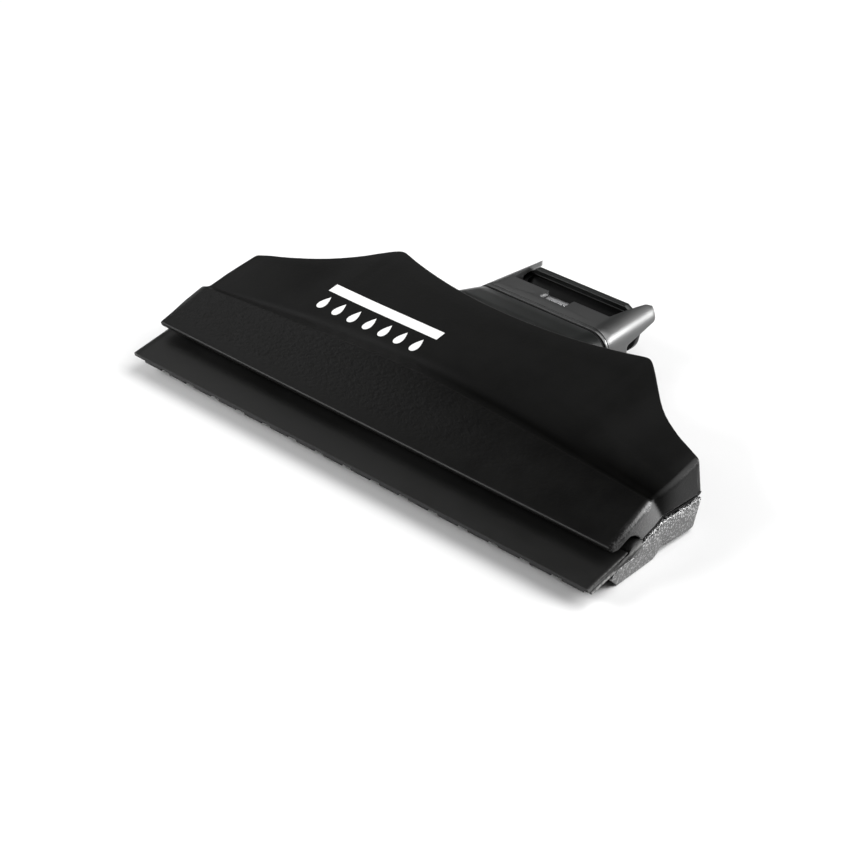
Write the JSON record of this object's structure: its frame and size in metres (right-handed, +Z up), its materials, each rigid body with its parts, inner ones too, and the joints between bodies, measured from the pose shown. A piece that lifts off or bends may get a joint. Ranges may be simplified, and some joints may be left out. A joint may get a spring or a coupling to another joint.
{
  "type": "squeegee suction nozzle",
  "caption": "Narrow suction nozzle head with pull-out rubber squeegee blades, a split black shell and a latch neck that plugs into a hand-held cleaner.",
  "frame": {"origin": "on the resting plane, under the centre of the whole nozzle's bounding box", "axes": "+X along the rubber blades, +Y from the blades back to the neck, +Z up out of the ridged top side"},
  "size_m": [0.17, 0.1098, 0.0245],
  "materials": {
    "shell_plastic": "fine eroded black plastic",
    "neck_plastic": "smooth satin black plastic",
    "channel_plastic": "plain dark grey moulding",
    "blade_rubber": "smooth satin charcoal rubber",
    "seal_rubber": "matt black rubber",
    "steel": "plain bright steel"
  },
  "bodies": {
    "head": {"upper_shell": "shell_plastic", "lower_shell": "shell_plastic", "seam_seal_left": "seal_rubber", "seam_seal_right": "seal_rubber", "channel_insert": "channel_plastic", "neck_sleeve": "neck_plastic", "neck_gasket": "seal_rubber", "neck_collar": "neck_plastic", "catch_plate": "steel", "air_duct": "neck_plastic", "port_seal": "seal_rubber", "shell_screw_1": "steel", "shell_screw_2": "steel", "shell_screw_3": "steel", "shell_screw_4": "steel", "shell_screw_5": "steel", "shell_screw_6": "steel", "collar_screw_1": "steel", "collar_screw_2": "steel"},
    "upper_blade_body": {"upper_blade": "blade_rubber"},
    "lower_blade_body": {"lower_blade": "blade_rubber"}
  },
  "joints": [
    {"name": "upper_blade_slide", "type": "slide", "parent": "head", "child": "upper_blade_body", "axis": [1, 0, 0], "range_m": [0, 0.172]},
    {"name": "lower_blade_slide", "type": "slide", "parent": "head", "child": "lower_blade_body", "axis": [1, 0, 0], "range_m": [0, 0.172]}
  ]
}
